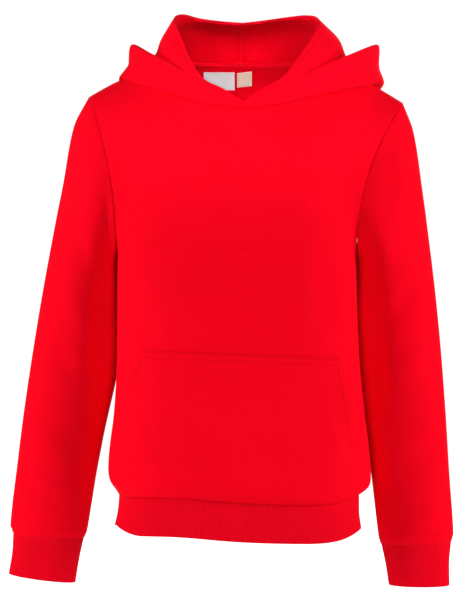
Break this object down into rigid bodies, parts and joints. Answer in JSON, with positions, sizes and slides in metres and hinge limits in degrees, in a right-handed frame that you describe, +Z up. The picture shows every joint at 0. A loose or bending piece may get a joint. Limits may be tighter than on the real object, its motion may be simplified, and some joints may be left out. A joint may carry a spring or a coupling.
{
  "type": "kids hoodie",
  "caption": "Pullover hoodie for a child in heavy sweatshirt fleece with a double-layer hood, a kangaroo pocket, rib cuffs and a rib bottom band, filled out as if worn.",
  "frame": {"origin": "The middle of the neck base, inside the collar, where the wearer's neck holds the garment up.", "axes": "+Z up along the body, front with the pocket towards -Y, the left side as seen from the front towards -X."},
  "size_m": [0.5343, 0.2546, 0.6899],
  "materials": {
    "fleece": "matte smooth-faced sweatshirt fleece",
    "rib": "fine elastic rib knit",
    "label_grey": "woven satin label",
    "label_sand": "woven satin label"
  },
  "bodies": {
    "root": {"front": "fleece", "back": "fleece", "sleeve_left": "fleece", "sleeve_right": "fleece", "cuff_left": "rib", "cuff_right": "rib", "hem_band": "rib", "pocket": "fleece", "hood_left": "fleece", "hood_right": "fleece", "neck_label": "label_grey", "size_label": "label_sand"}
  },
  "joints": []
}
